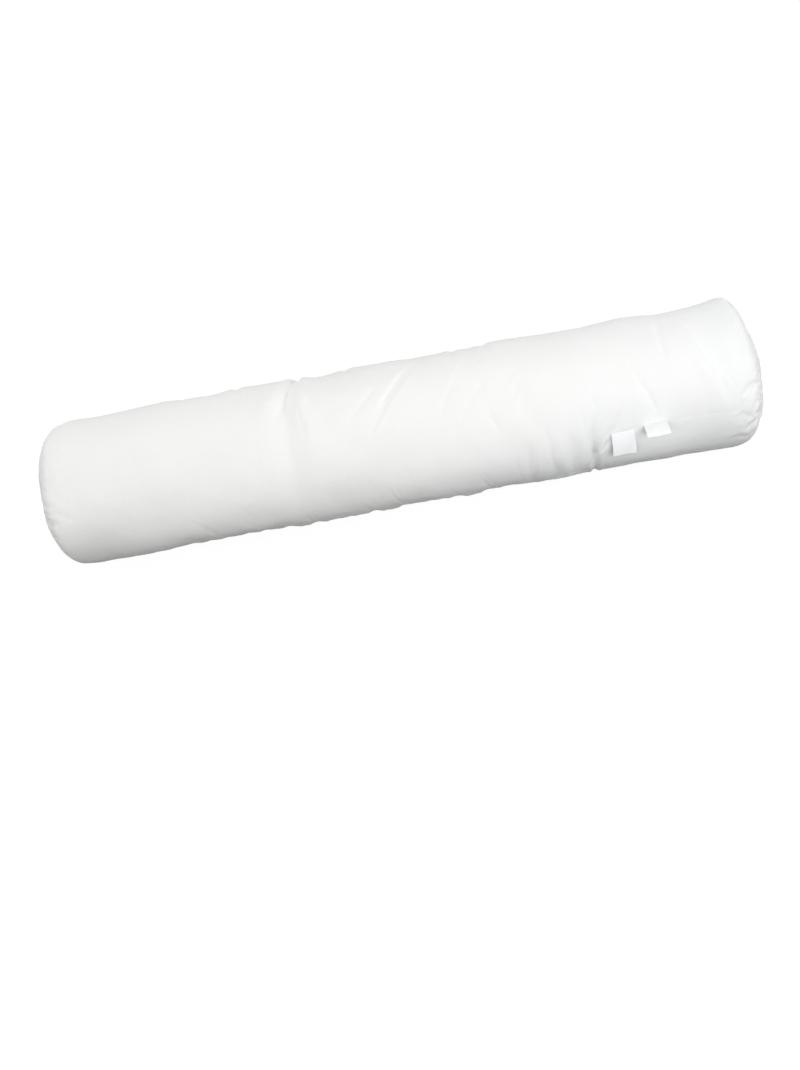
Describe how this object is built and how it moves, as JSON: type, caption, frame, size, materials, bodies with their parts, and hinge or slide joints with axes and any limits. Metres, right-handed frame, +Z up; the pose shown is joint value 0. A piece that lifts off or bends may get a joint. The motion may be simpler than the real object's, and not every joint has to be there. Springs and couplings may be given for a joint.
{
  "type": "bolster cushion",
  "caption": "Long round bolster cushion insert in plain white woven cloth, filled with fibre, with a seam along its length, puckered end seams and two blank sewn-in labels.",
  "frame": {"origin": "on the flattened underside, under the middle of the cushion's length and on its axis", "axes": "+X along the cushion towards the end with the labels, -Y the front, which the labels hang from, +Z up"},
  "size_m": [0.9885, 0.2206, 0.1941],
  "materials": {
    "cotton": "matt plain weave",
    "label_tape": "smooth satin tape"
  },
  "bodies": {
    "root": {"bolster": "cotton", "label_flat": "label_tape", "label_tab": "label_tape"}
  },
  "joints": []
}
